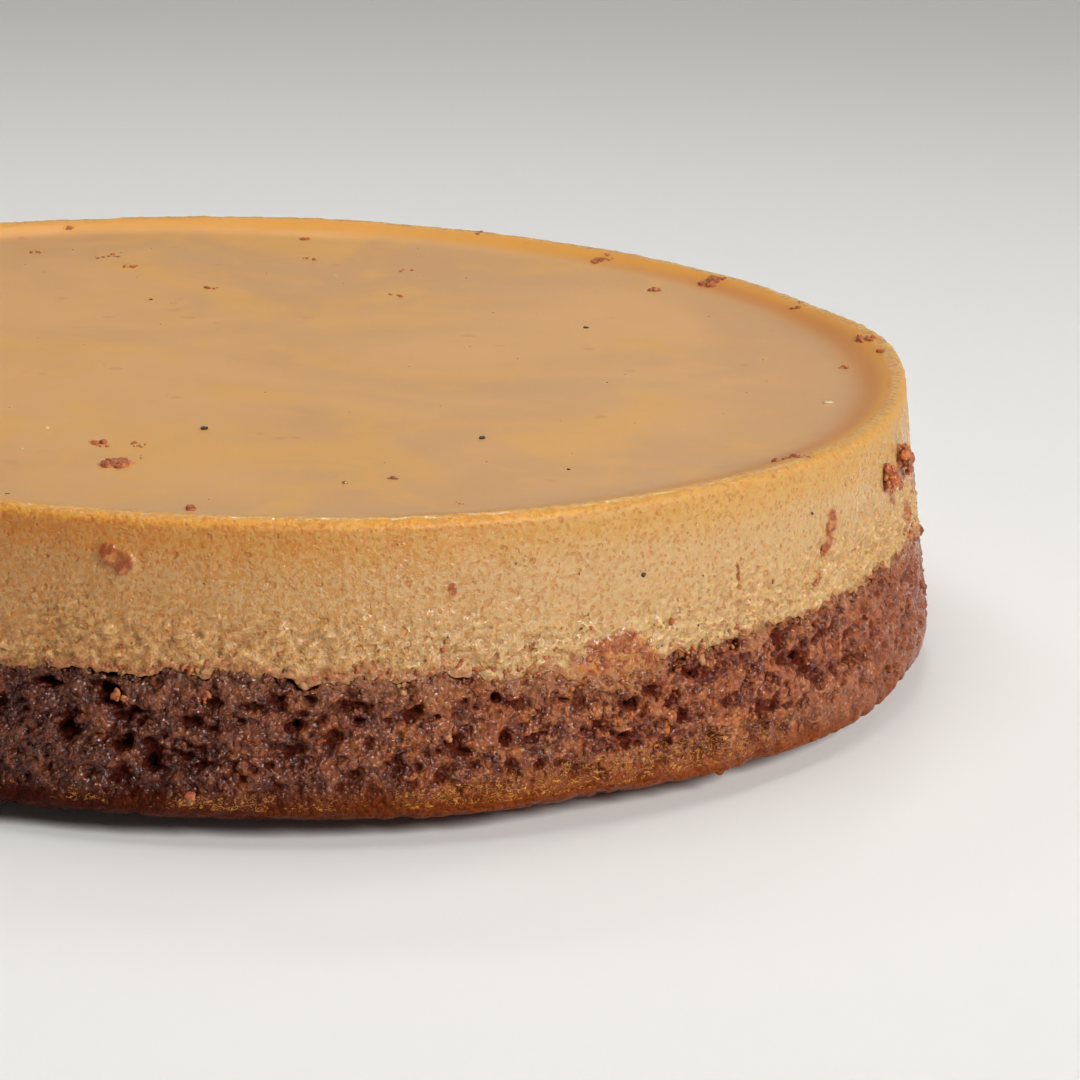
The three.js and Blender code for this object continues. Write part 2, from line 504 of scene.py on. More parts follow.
def spongeRelief(points, angle, faded):
    # how far each point of the crumb stands in or out, in metres
    squashed = points * (1, 1, 1.35)
    relief = 0.4 * mm * layeredNoise(points, 6 * mm, 80)
    for order, (size, depth) in enumerate(sponge["hollows"]):
        winding = layeredNoise(stir(squashed, size, 0.25 * size, 81 + order), size, 84 + 3 * order, 2)
        relief += depth * (0.25 - smooth(-0.3, 0.8, winding) - 0.25 * winding)
    for order, (cell, share, depth) in enumerate(sponge["holes"]):
        stirredPoints = stir(squashed, 0.5 * cell, 0.35 * cell, 60 + order)
        hole, chance = cellNoise(stirredPoints, cell, 70 + 10 * order)
        relief -= depth * smooth(1, 0.2, hole / (0.3 + 0.2 * chance / share)) * (chance < share)
    relief *= 1 - sumLumps(sponge["even"], angle)
    proud = sponge["proud"] * np.tanh(np.maximum(relief, 0) / sponge["proud"])
    relief = (proud + np.minimum(relief, 0)) * faded
    ragged = 0.5 * layeredNoise(points, 1.8 * mm, 95, 2)
    bent = 0.5 * layeredNoise(points, 1.8 * mm, 97, 2)
    for degrees, height, wide, tall, depth in sponge["pits"]:
        across = angleGap(angle, degrees) * cake["seamRadius"] / (wide * mm) + ragged
        up = (points[..., 2] - height * mm) / (tall * mm) + bent
        relief = relief - depth * mm * np.exp(-(across ** 2 + up ** 2) ** 1.5)
    return relief


def makeSponge():
    angle = columnAngles(sponge["columns"])
    line = layerLine(angle)
    edge = sumWaves(cake["edgeWaves"], angle)
    lift, corner = cake["edgeLift"], cake["cornerHeight"]
    base = cake["baseRadius"]
    rest = cake["restRadius"]
    under = [(0.3 * rest, 0), (0.7 * rest, 0), (0.94 * rest, 0), (rest, 0), (rest + 3 * mm, 0.05)]
    under += [(base - inset * mm, share) for inset, share in sponge["underEdge"]]
    profile = []
    for radius, share in under:
        level = share * lift + edge * smooth(0, 1, share)
        profile.append((radius, level, 0.45 * smooth(rest + 2 * mm, base - 3 * mm, radius)))
    for step in np.linspace(0, 1, sponge["wallRows"]):
        z = corner + edge * (1 - step) + step * (line - corner)
        profile.append((wallRadius(z), z, 0.45 + 0.55 * smooth(0, 0.35, step)))
    for inset in np.array(sponge["insets"]) * mm:
        level = line + 0.15 * mm - (line - cake["layerHeight"]) * smooth(0, 14 * mm, inset)
        profile.append((wallRadius(line) - inset, level, smooth(6 * mm, 1 * mm, inset)))
    radius, z, faded = stackRings(angle, profile)
    rings = placeAt(wavy(radius, angle, base), z, angle)
    below = np.clip(line - z, 0, None)
    merged = 0.45 + 0.55 * smooth(0, 2.5 * mm, below)
    relief = spongeRelief(rings, angle, faded * merged)
    ring = seamRing(angle)
    gap = 0.6 * smooth(0.25, 0.7, softNoise(ring, 6 * mm, 90) + 0.4 * softNoise(ring, 2 * mm, 91))
    gap = np.clip(gap + sumLumps(sponge["gaps"], angle), 0, 1)
    relief -= sponge["gapDepth"] * gap * np.exp(-(below / (0.8 * mm)) ** 1.5) * faded
    rings += gridNormals(rings) * relief[..., None]
    depth = np.clip(0.75 + relief / crumbSpan, 0, 1)
    piece = ringMesh("sponge_layer", rings, (0, 0, 0), (0, 0, cake["layerHeight"]),
                     {"relief": depth, "mixed": mixedShare(angle, below / 1.6)})
    dress(piece, spongeFinish(), "chocolate_sponge")
    return makeGrains(rings, gridNormals(rings), depth)


def makeGrains(rings, normals, depth):
    # loose grains and nuggets of crumb that stand on the wall of the sponge
    rows = slice(sponge["grainRow"], sponge["grainRow"] + sponge["wallRows"] + 3)
    spots, facing = rings[rows].reshape(-1, 3), normals[rows].reshape(-1, 3)
    proud = depth[rows].reshape(-1) * smooth(5 * mm, 9 * mm, spots[:, 2])
    _, angle = polar(spots[:, 0], spots[:, 1])
    weight = smooth(0.3, 0.8, proud) + 0.05
    weight *= 1 - 0.85 * np.clip(sumLumps(sponge["even"], angle), 0, 1)
    finish = spongeFinish("loose chocolate crumb", stored=False)
    for name, count, (small, large), subdivisions, seed in sponge["loose"]:
        draw = np.random.default_rng(seed)
        chosen = draw.choice(len(spots), count, replace=False, p=weight / weight.sum())
        size = (small + (large - small) * draw.random(count) ** 2) * mm
        centre = spots[chosen] + facing[chosen] * (size * draw.uniform(-1.0, -0.25, count))[:, None]
        addLumps(name, finish, "chocolate_sponge", centre, size, seed, subdivisions, 0.5)
    return finish


def spongeFinish(name="moist chocolate crumb", stored=True):
    finish = Finish(name, (0.45, glow["chocolate"], 0.8), Specular_IOR_Level=0.5)
    patches = finish.noise(8, 3, 0.6)
    grain = finish.noise(0.7)
    swirl = finish.noise(2.2)
    lobe = finish.cells(0.85, 0.8, 0.4)
    relief = finish.stored("relief") if stored else 0.75 + 0.5 * (swirl - 0.5)
    # lighter on the raised crumb and darker in its hollows (painted light and shade), mixed with random
    # tone; the orange patches follow it
    lit = (relief * 0.8 + swirl * 1.3 + grain * 0.5 + patches * 0.4).ease(1.35, 2)
    finish.colour = finish.blend(sponge["crumb"], sponge["light"], lit)
    finish.coat(sponge["orange"], finish.noise(3.5).ease(0.52, 0.66) * lit * 0.8)
    bits = finish.noise(1.5, 3, 0.6)
    finish.coat(sponge["tan"], (bits + relief * 0.3).ease(0.78, 0.95) * 0.7)
    across = finish.along("X")
    finish.coat(sponge["calm"], across.ease(84 * mm, 104 * mm) * 0.6)
    crevice = (relief + grain * 0.3 - lobe * 0.2).ease(0.15, 0.9)
    if stored:
        mixed = (finish.stored("mixed") + 0.5 * (grain - 0.5)).ease(0.1, 0.8)
        finish.coat(sponge["creamy"], mixed * 0.8)
    # painted shade: darker in the crevices and darkest in the deep holes
    finish.colour = finish.blend(sponge["recessShade"], finish.colour, crevice)
    finish.colour = finish.blend(sponge["hole"], finish.colour, relief.ease(0.01, 0.14))
    height = finish.along("Z")
    drop = 2.4 * mm * across.ease(45 * mm, 90 * mm)
    foot = (height + 5 * mm * (patches - 0.5) + drop).ease(10.5 * mm, 5.6 * mm)
    # painted reflection: thin golden threads on wrinkles low on the crumb; the wrinkles also feed the
    # bump
    wrinkle = finish.noise(1.7, warp=1.3, at=finish.squash((1, 1, 1.6)))
    thread = wrinkle.ease(0.455, 0.48) * wrinkle.ease(0.52, 0.495)
    spread = 2.5 * mm * across.ease(15 * mm, 55 * mm)
    band = (height + 6 * mm * (patches - 0.5) - spread).ease(10 * mm, 6.6 * mm)
    band = band * height.ease(5.3 * mm, 6.1 * mm)
    where = (patches + 0.4 * (grain - 0.5) + across * 1.2).ease(0.36, 0.62)
    thread = thread * (band * where).ease(0.2, 0.6) * across.ease(96 * mm, 62 * mm, 0.25)
    # painted shade: the crust band at the foot is darkened, most on the -X side
    crustAndShade = finish.blend(sponge["crustAndShade"], sponge["crustWarm"], across.ease(-35 * mm, 45 * mm))
    finish.coat(crustAndShade, foot * 0.92)
    # painted shade: the crumb darker towards the -X side
    shadedSide = (across + 60 * mm * (patches - 0.5)).ease(72 * mm, -48 * mm)
    finish.coat(sponge["sideShade"], shadedSide, "MULTIPLY")
    finish.coat(sponge["goldenReflection"], thread)
    beads = finish.noise(0.36, 1)
    normal = finish.bump(swirl * 0.8 - lobe * lobe * 1.1 + 0.4 * thread + 0.4 * beads, 0.5)
    rough = 0.10 + 0.16 * patches.ease(0.6, 0.45)
    finish.shade(Base_Color=finish.colour, Roughness=rough, Normal=normal)
    finish.dullWhere(1 - (1 - 0.93 * foot) * crevice.ease(0.2, 0.8), 0.03)
    return finish


flan = {
    "columns": 1140,
    "wallRows": 52,
    "underInsets": [70, 20, 6, 2.2],        # rings underneath, in mm inwards from the wall
    # rings over the top, in mm inwards from the crest of the rim
    "insets": [0.3, 0.6, 1.0, 1.4, 1.8, 2.2, 2.8, 3.5, 4.4, 5.6, 7.5, 10, 15, 30, 60],
    "poreCell": 1.3 * mm,
    "poreDepth": 0.25 * mm,
    # torn lumps low on the wall: size, depth
    "lumps": [(2.1 * mm, 1 * mm), (1.15 * mm, 0.7 * mm)],
    "pale": (0.532, 0.338, 0.15),
    "warm": (0.485, 0.248, 0.072),
    "curd": (0.65, 0.45, 0.225),        # painted light on the tops of the torn lumps low on the wall
    "valleyShade": (0.42, 0.21, 0.07),       # and painted shade between them
    "rim": (0.54, 0.308, 0.085),
    "rimWarm": (0.51, 0.225, 0.036),
    # orange where caramel soaked into the crest, with painted light where the crest catches the light
    "crest": (0.69, 0.332, 0.038),
    "froth": (0.9, 0.64, 0.33),         # painted highlights: small pale beads along the front of the crest
    # painted shade in the pits, pores and dents of the wall
    "pore": (0.47, 0.172, 0.03),
    # painted shade: darker, more orange tints for the -X side, low on the wall and near the rim
    "shadedLow": (0.97, 0.83, 0.7),
    "shadedRim": (0.95, 0.72, 0.53),
    "seam": (0.4, 0.15, 0.05),          # where the flan has taken up chocolate
    "stain": (0.285, 0.062, 0.013),
    "smeared": (0.455, 0.172, 0.038),   # lighter bits in a stain
}


def filmDepth(inset):
    # how far the flan lies below the top of the syrup on it
    edge = 0.05 * mm * smooth(1.3 * mm, 1.9 * mm, inset)
    return edge + 0.8 * mm * smooth(2.4 * mm, 9 * mm, inset)


def makeFlan():
    angle = columnAngles(flan["columns"])
    line = layerLine(angle)
    crest = crestRadius()
    foot = crestHeight(angle) - cake["rimRound"]
    profile = [(wallRadius(line) - inset * mm, line + 0.25 * mm, 0) for inset in flan["underInsets"]]
    lower = 0.2 * mm
    for bend in (0.2, 0.7, 1.2):
        z = line + 0.2 * mm + lower * (1 - math.cos(bend))
        profile.append((wallRadius(line) - lower * (1 - math.sin(bend)), z, 0.6 * bend))
    for step in np.linspace(0, 1, flan["wallRows"]):
        z = line + 0.8 * mm + step * (foot - line - 0.8 * mm)
        profile.append((wallRadius(z), z, 1 - 0.6 * smooth(0.75, 1, step)))
    for turn in np.linspace(0, math.pi / 2, 10)[1:]:
        width = wallRadius(foot) - crest
        z = foot + cake["rimRound"] * math.sin(turn)
        profile.append((crest + width * math.cos(turn), z, 0.4 - 0.06 * turn))
    for inset in np.array(flan["insets"]) * mm:
        z = dishHeight(inset, angle) - filmDepth(inset)
        profile.append((crest - inset, z, 0.1 * smooth(1.2 * mm, 0, inset)))
    radius, z, rough = stackRings(angle, profile)
    inset = np.clip((crest - radius) / insetSpan, 0, 1) * (z > 40 * mm)
    near = np.where(inset > 0, 1, np.clip(1 + (z - crestHeight(angle)) / (2.5 * mm), 0, 1))
    radius = wavy(radius, angle)
    rings = placeAt(radius + rimOut(radius, z, angle), z, angle)
    above = z - line
    low = smooth(14 * mm, 3 * mm, above + 3 * mm * softNoise(rings, 9 * mm, 115))
    pore, chance = cellNoise(rings, flan["poreCell"], 120)
    pores = smooth(0.34, 0.12, pore) * (chance > 0.45)
    relief = -flan["poreDepth"] * pores * rough + 0.14 * mm * layeredNoise(rings, 6 * mm, 150) * rough
    curd = np.zeros_like(radius)
    for order, (cell, depth) in enumerate(flan["lumps"]):
        stirredPoints = stir(rings * (1, 1, 1.9), 2 * mm, 0.4 * cell, 130 + 5 * order)
        lump, chance = cellNoise(stirredPoints, cell, 140 + order)
        curd += depth * (0.45 - lump + 0.3 * (chance - 0.5)) * (0.1 + 0.9 * low) * rough
    relief += curd
    beads = 0.08 * layeredNoise(rings, 2.2 * mm, 160, 2) + 0.10 * softNoise(rings, 1.05 * mm, 165)
    relief += beads * mm * smooth(foot - 1 * mm, foot + 1 * mm, z) * (rough > 0)
    stain, raised = stainAt(rings, angle, z)
    relief += raised * (rough > 0)
    rings += gridNormals(rings) * relief[..., None]
    piece = ringMesh("flan_layer", rings, (0, 0, cake["layerHeight"] + 0.3 * mm),
                     (0, 0, cake["height"] - dish["depth"] - 0.9 * mm),
                     {"pores": pores, "above": np.clip(above / aboveSpan, 0, 1), "stain": stain,
                      "crest": near, "inset": inset, "mixed": mixedShare(angle, np.maximum(above, 0)),
                      "curd": np.clip(0.5 + curd / curdSpan, 0, 1)})
    dress(piece, flanFinish(), "flan")


def flanFinish():
    finish = Finish("baked caramel custard", (0.7, glow["custard"], 1.0), Specular_IOR_Level=0.45,
                    Coat_Roughness=0.13)
    pores = finish.stored("pores")
    crest = finish.stored("crest")
    inset = finish.stored("inset") * insetSpan
    above = finish.stored("above") * aboveSpan
    across = finish.along("X")
    height = finish.along("Z")
    patches = finish.noise(12, 3, 0.55)
    mottle = finish.noise(0.75)
    fine = finish.noise(0.4)
    low = (above + 5 * mm * (patches - 0.5)).ease(11 * mm, 3 * mm)
    bubble = finish.cells(0.95, 0.9, 0.4)
    pits = (bubble + 0.35 * (fine - 0.5) + 0.3 * (patches - 0.5)).ease(0.38, 0.18)
    band = (height + 4 * mm * (patches - 0.5)).ease(38 * mm, 45 * mm)
    side = across.ease(15 * mm, 75 * mm)
    onTop = (crest + 0.9 * (mottle - 0.5) - 0.38 * side).ease(0.25, 0.95)
    level = crest.ease(0.92, 1)
    shine = crest.ease(0.80, 0.97) * inset.ease(1.6 * mm, 0.6 * mm)
    paleTone = finish.blend(flan["pale"], flan["rim"], band)
    warmTone = finish.blend(flan["warm"], flan["rimWarm"], band)
    wandering = across + 40 * mm * (patches - 0.5)
    heated = wandering.ease(65 * mm, 5 * mm)
    grainy = (mottle * 0.65 + fine * 0.35).ease(0.55, 0.44)
    finish.colour = finish.blend(paleTone, warmTone, grainy * (0.45 + 0.55 * heated))
    hollow = finish.cells(3.1, 2, 1.6).ease(0.19, 0.10)
    # painted shade: darker orange in the pits, pores and dents
    dentShade = pits * (1 - 0.35 * heated) + pores * 0.3 + hollow * 0.6
    finish.coat(flan["pore"], dentShade * 0.6)
    # painted light on the tops of the torn lumps and painted shade between them
    curd = finish.stored("curd") + 0.35 * (fine - 0.5)
    finish.coat(flan["curd"], curd.ease(0.56, 0.80) * 0.65)
    finish.coat(flan["valleyShade"], curd.ease(0.42, 0.20) * 0.60)
    # painted shade: the -X side darker and more orange
    baked = finish.blend(flan["shadedLow"], flan["shadedRim"], band)
    finish.coat(baked, wandering.ease(55 * mm, -50 * mm), "MULTIPLY")
    # the crest: caramel-orange, with painted light along it
    crestTone = finish.blend(flan["crest"], flan["rimWarm"], mottle.ease(0.55, 0.42) * 0.55)
    finish.coat(crestTone, onTop * 0.9)
    bead = finish.noise(1.1).ease(0.48, 0.60)
    beads = bead * crest.ease(0.93, 1) * finish.along("Y").ease(-60 * mm, -85 * mm)
    mixed = (finish.stored("mixed") + 0.9 * (mottle - 0.5)).ease(0.10, 0.74)
    finish.coat(flan["seam"], mixed * 0.9)
    stain = (finish.stored("stain") + 0.7 * (mottle - 0.5)).ease(0.3, 0.8)
    lighter = finish.noise(1.3).ease(0.46, 0.60)
    finish.coat(finish.blend(flan["stain"], flan["smeared"], lighter), stain * 0.9)
    finish.coat(topColour(finish), inset.ease(0.3 * mm, 1.5 * mm))
    # painted highlights: pale beads along the front of the crest
    finish.coat(flan["froth"], beads * inset.ease(0.7 * mm, 0.2 * mm) * 0.6)
    relief = mottle + fine * 0.35 - pits * (0.75 - 0.35 * heated) - hollow * 1.2
    uneven = (0.45 + 0.25 * heated + 0.45 * low) * (1 - 0.7 * level)
    normal = finish.bump(relief * uneven, 0.30)
    wet = finish.noise(1.6).ease(0.42, 0.58) * crest.ease(0.35, 0)
    rough = (0.50 - 0.28 * wet) * (1 - 0.3 * stain)
    finish.shade(Base_Color=finish.colour, Roughness=rough, Coat_Weight=shine * bead, Normal=normal)
    return finish


dish = {
    "columns": 420,
    "depth": 2.1 * mm,
    "slope": 5.2 * mm,
    "sharpness": 1.7,
    "thickness": 0.35 * mm,
    "syrup": (0.743, 0.358, 0.114),
    "tan": (0.645, 0.312, 0.108),
    "amber": (0.755, 0.352, 0.072),
    # painted shade on the slope inside the rim, strongest on the +X side
    "slopeShade": (0.64, 0.232, 0.056),
    "orange": (0.75, 0.318, 0.05),      # on the slope just inside the rim
    "spot": (0.59, 0.2, 0.04),
}


def makeSyrup():
    # the caramel that has run off the custard: a thin closed skin that fills the dish of the top
    angle = np.linspace(-math.pi, math.pi, dish["columns"], endpoint=False)
    crest = crestRadius()
    insets = np.concatenate([np.linspace(1.2, 12, 24), np.linspace(13, 96, 40)]) * mm
    profile = [(crest - inset, dishHeight(inset, angle) - dish["thickness"])
               for inset in insets[[-1, 32, 23, 12, 6, 3, 0]]]
    for inset in insets:
        drop = 0.05 * mm * smooth(1.9 * mm, 1.2 * mm, inset)
        profile.append((crest - inset, dishHeight(inset, angle) - drop))
    radius, z = stackRings(angle, profile)
    inset = np.clip((crest - radius) / insetSpan, 0, 1)
    radius = wavy(radius, angle)
    radius += rimOut(radius, z, angle)
    points = placeAt(radius, z, angle)
    flat = smooth(crest - 2 * mm, crest - 9 * mm, radius)
    level = points * (1, 1, 0)
    points[..., 2] += flat * mm * (0.05 * softNoise(level, 16 * mm, 210)
                                   + 0.02 * softNoise(level, 5 * mm, 211))
    middle = cake["height"] - dish["depth"]
    piece = ringMesh("caramel_film", points, (0, 0, middle - dish["thickness"]), (0, 0, middle),
                     {"inset": inset})
    dress(piece, syrupFinish(), "caramel_glaze")


def topColour(finish):
    # the colour of the syrup on top, also where it has soaked into the inside of the rim
    drift = finish.noise(52, 5, 0.5, 0.7)
    streak = finish.noise(34, 6, 0.55, 0.9)
    ring = (finish.fromAxis() + 12 * mm * (drift - 0.5)).ease(80 * mm, 98 * mm)
    wisps = finish.noise(8, 5, 0.6, at=finish.stirred(9, 8)) + 0.5 * (streak - 0.5)
    inset = finish.stored("inset") * insetSpan
    right = finish.along("X").ease(45 * mm, 100 * mm)
    narrow = inset * (1 + 1.1 * right)
    spots = finish.cells(9, 3, 2.5).ease(0.17, 0.06)
    some = finish.noise(17, 1).ease(0.44, 0.6)
    colour = finish.blend(dish["syrup"], dish["tan"], drift.ease(0.38, 0.62))
    for tone, share in (("tan", ring * 0.8),
                        ("amber", streak.ease(0.46, 0.64) * 0.75),
                        ("amber", wisps.ease(0.54, 0.66) * 0.45),
                        # painted shade on the slope inside the rim
                        ("slopeShade", inset.ease(9.5 * mm, 4.5 * mm) * (0.25 + 0.6 * right)),
                        ("orange", narrow.ease(8.5 * mm, 3 * mm) * 0.85),
                        ("spot", spots * some * 0.6)):
        colour = finish.blend(colour, dish[tone], share)
    return colour


def syrupFinish():
    finish = Finish("caramel syrup", (0.2, glow["custard"], 1.2), Specular_IOR_Level=0.5)
    fine = finish.noise(1.2)
    cloud = finish.noise(20, 3)
    normal = finish.bump(fine, 0.02, 0.3)
    finish.shade(Base_Color=topColour(finish), Roughness=0.24 + 0.18 * cloud, Normal=normal)
    finish.dullWhere(finish.stored("inset").ease(0.75, 0.3), 0.08)
    return finish


crumbs = {
    # smeared on the wall: degrees, height in mm, width, tallness, how many lumps, their size in mm
    "wall": [(-10.7, 41.9, 2.1, 1.9, 0, 1.9), (-9.8, 40.2, 1.7, 2.1, 0, 1.6),
             (-10.2, 41.1, 2.2, 1.8, 0, 1.9), (70.5, 37.2, 6, 3.2, 4, 0.7),
             (67, 35.4, 3.6, 2.4, 2, 0.6), (53.2, 37, 1.4, 2, 2, 0.8),
             (52.6, 34.6, 1.1, 2.8, 4, 0.5), (51.8, 32.8, 1.7, 1.2, 4, 0.4),
             (40.4, 33.1, 0.4, 3, 3, 0.25), (50.4, 28.9, 1.2, 2, 4, 0.5),
             (27.8, 24.9, 9.4, 4.4, 12, 0.8), (31, 23.2, 3, 2.6, 6, 0.7),
             (14.6, 36.9, 0.6, 1.5, 1, 0.3), (12.7, 20.5, 1.8, 2.2, 9, 0.5),
             (14.3, 16.2, 0.6, 3.8, 9, 0.5), (-4.1, 7.3, 1.6, 0.8, 4, 0.6),
             (-9.6, 20.9, 1.4, 1.4, 5, 0.5), (-3.4, 22.2, 0.5, 1, 3, 0.5),
             (71.5, 29.5, 5, 3, 0, 0.3), (77.5, 33, 3.4, 5, 0, 0.3),
             (81, 30, 4, 5, 2, 0.35), (128, 39, 2, 3, 12, 0.9),
             (146, 31, 0.8, 3.6, 10, 0.4), (171, 36, 2.6, 2, 16, 0.7), (196, 27, 6, 2.6, 40, 0.8),
             (224, 40.5, 1.8, 2.6, 10, 0.9), (243, 33, 0.6, 4, 10, 0.32),
             (266, 29, 2.2, 2.4, 16, 0.6), (287, 37.5, 2.2, 3, 14, 0.9),
             (312, 31.5, 1, 3.2, 10, 0.45), (333, 38, 1.2, 1.8, 7, 0.5)],
    # standing out from the wall: degrees, height, spread, how many lumps, their size in mm
    "clumps": [(70.6, 39.7, 0.85, 44, 1.0), (65.2, 38.3, 0.75, 24, 0.8)],
    # lying on top: x, y in mm, spread, how many lumps, their size in mm
    "top": [(-21.6, -73.4, 0.95, 18, 0.75), (-24.6, -62.6, 0.9, 12, 0.5), (-18.6, -62.8, 0.7, 8, 0.45),
            (20.3, -78.8, 0.4, 7, 0.45), (13.2, -81.7, 0.3, 3, 0.3), (29.8, -92, 0.4, 3, 0.3),
            (-9.4, -98.4, 0.45, 8, 0.5), (82.4, -66, 1.3, 14, 0.6), (42.4, 99.2, 0.5, 4, 0.5),
            (8.3, 99, 0.8, 6, 0.5), (9.5, 80, 0.9, 4, 0.4), (-29.7, 78, 1.5, 7, 0.45),
            (-24.1, 70, 1.1, 5, 0.4), (-42.8, 79, 0.7, 4, 0.4), (-9.7, 51.4, 0.6, 5, 0.4),
            (25.4, 49.6, 0.6, 5, 0.35), (28, 72, 0.7, 4, 0.3), (65.4, 81.4, 0.9, 12, 0.7),
            (84.4, 62.4, 1, 14, 0.75), (73.9, 60.2, 0.7, 8, 0.5), (98, 41.4, 0.8, 8, 0.55),
            (105.4, 14, 0.9, 9, 0.55), (107.4, 4.4, 0.5, 4, 0.4), (100.4, -0.3, 0.5, 5, 0.35),
            (-38, 98, 0.6, 6, 0.5), (-61, 84, 0.7, 7, 0.55), (-97, 38, 0.6, 6, 0.5),
            (-84, -22, 0.6, 6, 0.4), (-52, 12, 0.4, 4, 0.35), (-70, -76, 0.7, 8, 0.45)],
    "sizes": (0.4, 1.25),               # smallest and largest lump of a smear, as a share of its size
    "clinging": 2000,
    "custardBits": 240,
    "torn": (0.44, 0.205, 0.08),
    "moist": (0.34, 0.078, 0.022),
    "bright": (0.56, 0.2, 0.055),
}


def stainAt(points, angle, z):
    # how much each smear of crumbs stains the wall round it, from 0 to 1, and how far it swells out
    ragged = layeredNoise(points, 2.4 * mm, 430, 3, 0.6)
    stain, raised = np.zeros_like(z), np.zeros_like(z)
    for degrees, height, wide, tall, _, size in crumbs["wall"]:
        across = angleGap(angle, degrees) * cake["wallMiddle"] / (0.75 * wide * mm + 0.3 * mm)
        up = (z - height * mm) / (0.7 * tall * mm + 0.3 * mm)
        share = smooth(0.1, 0.75, np.exp(-across ** 2 - up ** 2) * (1 + 0.55 * ragged))
        stain = np.maximum(stain, share)
        raised = np.maximum(raised, 0.5 * size * mm * share * (0.8 + 0.5 * ragged))
    return stain, raised


def wallSpots(angle, z, out):
    # places on the wall and the directions that face out of it there
    place = placeAt(wallRadius(z, angle) + out, z, angle)
    return place, unit(placeAt(1, cake["taper"], angle))


def makeCrumbs(darkFinish):
    draw = np.random.default_rng(401)
    finish = crumbFinish()
    placed = []

    def lumpSizes(size, count):
        return size * draw.uniform(*crumbs["sizes"], count) * mm

    for degrees, height, wide, tall, count, size in crumbs["wall"]:
        away = draw.normal(0, 0.42, (count, 2)) * (wide, tall)
        angle = math.radians(degrees) + away[:, 0] * mm / cake["wallMiddle"]
        own = lumpSizes(size, count)
        out = 0.5 * size * mm - 0.75 * own
        placed.append((own, *wallSpots(angle, (height + away[:, 1]) * mm, out)))
    for degrees, height, spread, count, size in crumbs["clumps"]:
        away = draw.normal(0, spread, (count, 3)) * mm
        own = lumpSizes(size, count)
        out = np.clip(away[:, 2] + 0.5 * mm, -0.3 * mm, 1.6 * mm)
        angle = math.radians(degrees) + away[:, 0] / cake["wallMiddle"]
        placed.append((own, *wallSpots(angle, height * mm + away[:, 1], out)))
    for x, y, spread, count, size in crumbs["top"]:
        away = draw.normal(0, spread, (count, 2))
        own = lumpSizes(size, count)
        reach, angle = polar(x + away[:, 0], y + away[:, 1])
        rim = crestRadius() + sumWaves(cake["wallWaves"], angle)
        reach = np.minimum(reach * mm, rim + 0.3 * mm)
        sink = 0.1 - 0.4 * smooth(7 * mm, 3 * mm, rim - reach)
        place = placeAt(reach, dishHeight(rim - reach, angle) + sink * own, angle)
        placed.append((own, place, facingUp(count)))
    sizes, spots, facing = [np.concatenate(part) for part in zip(*placed)]
    turns = turnsFacing(draw, facing)
    large = sizes > 0.55 * mm
    for name, some, seed, subdivisions in (("loose_crumbs", large, 402, 3),
                                           ("small_crumbs", ~large, 403, 2)):
        addLumps(name, finish, "chocolate_sponge", spots[some], sizes[some], seed, subdivisions, 0.5,
                 turns[some], 0.65)

    # crumbs that cling to the foot of the flan, thinning out upwards
    angle = draw.uniform(-math.pi, math.pi, crumbs["clinging"])
    spread = 0.5 + 2.4 * sumLumps(cake["mixing"], angle) + 0.5 * softNoise(seamRing(angle), 3 * mm, 410)
    rise = draw.exponential(np.maximum(spread, 0.3)) - 0.8
    own = (0.22 + 0.6 * draw.random(len(angle)) ** 2) * mm / (1 + 0.2 * np.clip(rise, 0, 4))
    place, outward = wallSpots(angle, layerLine(angle) + rise * mm, -0.6 * own)
    turns = turnsFacing(draw, outward)
    high = rise > 0.3
    for name, some, seed, tone in (("clinging_crumbs", ~high, 412, darkFinish),
                                   ("stray_crumbs", high, 414, finish)):
        addLumps(name, tone, "chocolate_sponge", place[some], own[some], seed, 2, 0.75,
                 turns[some], 0.8)

    # bits of flan torn loose along the line
    angle = draw.uniform(-math.pi, math.pi, crumbs["custardBits"])
    own = (0.25 + 0.45 * draw.random(len(angle)) ** 2) * mm
    height = layerLine(angle) + draw.normal(-0.3, 0.8, len(angle)) * mm
    place, outward = wallSpots(angle, height, -0.6 * own)
    addLumps("custard_bits", custardBitFinish(), "flan", place, own, 413, 2, 0.75,
             turnsFacing(draw, outward), 0.8)


def crumbFinish():
    finish = Finish("moist loose crumbs", (0.5, glow["crumbs"], 0.9), Specular_IOR_Level=0.45)
    grain = finish.noise(0.7, 3, 0.6)
    patches = finish.noise(2.2)
    colour = finish.blend(crumbs["moist"], crumbs["bright"], (grain + 0.6 * patches).ease(0.72, 1))
    wet = finish.noise(1.1, 2, 0.6).ease(0.46, 0.56)
    normal = finish.bump(grain, 0.3, 0.8)
    finish.shade(Base_Color=colour, Roughness=0.55 - 0.37 * wet, Normal=normal)
    return finish


def custardBitFinish():
    finish = Finish("torn custard", (0.35, glow["custard"], 1.0), Specular_IOR_Level=0.45)
    mottle = finish.noise(0.8, 3, 0.6)
    tone = finish.noise(3)
    dark = (tone + 0.6 * (mottle - 0.5)).ease(0.42, 0.6)
    finish.shade(Base_Color=finish.blend(crumbs["torn"], flan["seam"], dark),
                 Roughness=0.6 - 0.3 * mottle, Normal=finish.bump(mottle, 0.25, 0.8))
    return finish


